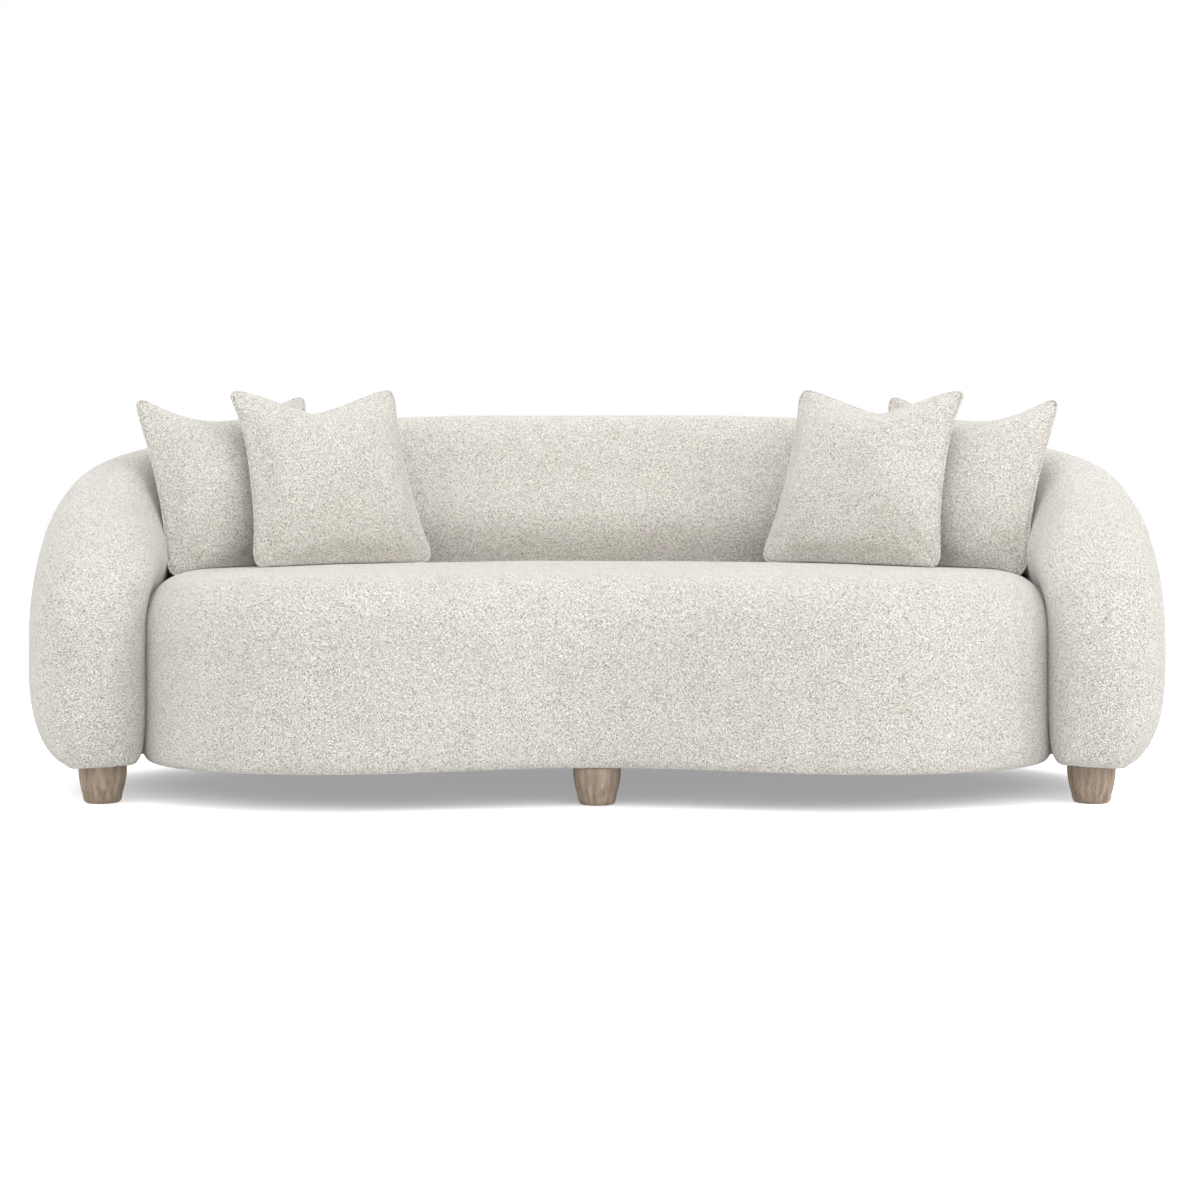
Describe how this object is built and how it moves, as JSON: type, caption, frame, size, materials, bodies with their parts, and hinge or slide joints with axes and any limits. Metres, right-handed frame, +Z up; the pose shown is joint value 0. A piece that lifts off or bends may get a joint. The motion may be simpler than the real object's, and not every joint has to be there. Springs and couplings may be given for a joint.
{
  "type": "curved sofa",
  "caption": "Curved boucle sofa: one plump roll forms arms and back round a thick kidney-fronted seat, with loose knife-edge cushions and short turned feet.",
  "frame": {"origin": "on the floor, in the middle of the sofa's plan", "axes": "+X along the sofa to the sitter's left, +Y towards the back, +Z up"},
  "size_m": [2.3112, 1, 0.8353],
  "materials": {
    "boucle": "cream boucle with curly loops",
    "black_cloth": "non-woven dust cloth",
    "foam": "open-cell seat foam",
    "hardboard": "raw bent board",
    "plywood": "raw sawn plywood",
    "oak": "washed oak, matt",
    "steel": "drawn wire and zinc-plated fastenings"
  },
  "bodies": {
    "sofa": {"wrap_cover": "boucle", "seat_cover": "boucle", "arm_foam_right": "foam", "back_foam": "foam", "arm_foam_left": "foam", "seat_foam": "foam", "inner_lining": "hardboard", "outer_lining": "hardboard", "base_board": "plywood", "dust_cover": "black_cloth", "rib_1": "plywood", "rib_2": "plywood", "rib_3": "plywood", "rib_4": "plywood", "rib_5": "plywood", "rib_6": "plywood", "rib_7": "plywood", "rib_8": "plywood", "rib_9": "plywood", "rib_10": "plywood", "crest_rail": "plywood", "seat_rail_front": "plywood", "seat_rail_right": "plywood", "seat_rail_back": "plywood", "seat_rail_left": "plywood", "cross_rail_left": "plywood", "cross_rail_right": "plywood", "seat_spring_1": "steel", "seat_spring_2": "steel", "seat_spring_3": "steel", "seat_spring_4": "steel", "seat_spring_5": "steel", "seat_spring_6": "steel", "seat_spring_7": "steel", "seat_spring_8": "steel", "seat_spring_9": "steel", "foot_front_right": "oak", "foot_bolt_front_right": "steel", "foot_nut_front_right": "steel", "foot_front_centre": "oak", "foot_bolt_front_centre": "steel", "foot_nut_front_centre": "steel", "foot_front_left": "oak", "foot_bolt_front_left": "steel", "foot_nut_front_left": "steel", "foot_rear_right": "oak", "foot_bolt_rear_right": "steel", "foot_nut_rear_right": "steel", "foot_rear_centre": "oak", "foot_bolt_rear_centre": "steel", "foot_nut_rear_centre": "steel", "foot_rear_left": "oak", "foot_bolt_rear_left": "steel", "foot_nut_rear_left": "steel"},
    "cushion_rear_left": {"cushion_rear_left": "boucle"},
    "cushion_rear_right": {"cushion_rear_right": "boucle"},
    "cushion_front_left": {"cushion_front_left": "boucle"},
    "cushion_front_right": {"cushion_front_right": "boucle"}
  },
  "joints": [
    {"name": "lift_cushion_rear_left", "type": "slide", "parent": "sofa", "child": "cushion_rear_left", "axis": [-0.0769, 0.3426, 0.9363], "range_m": [0, 0.42]},
    {"name": "lift_cushion_rear_right", "type": "slide", "parent": "sofa", "child": "cushion_rear_right", "axis": [0.0769, 0.3426, 0.9363], "range_m": [0, 0.42]},
    {"name": "lift_cushion_front_left", "type": "slide", "parent": "sofa", "child": "cushion_front_left", "axis": [0, 0, 1], "range_m": [0, 0.42]},
    {"name": "lift_cushion_front_right", "type": "slide", "parent": "sofa", "child": "cushion_front_right", "axis": [0, 0, 1], "range_m": [0, 0.42]}
  ]
}
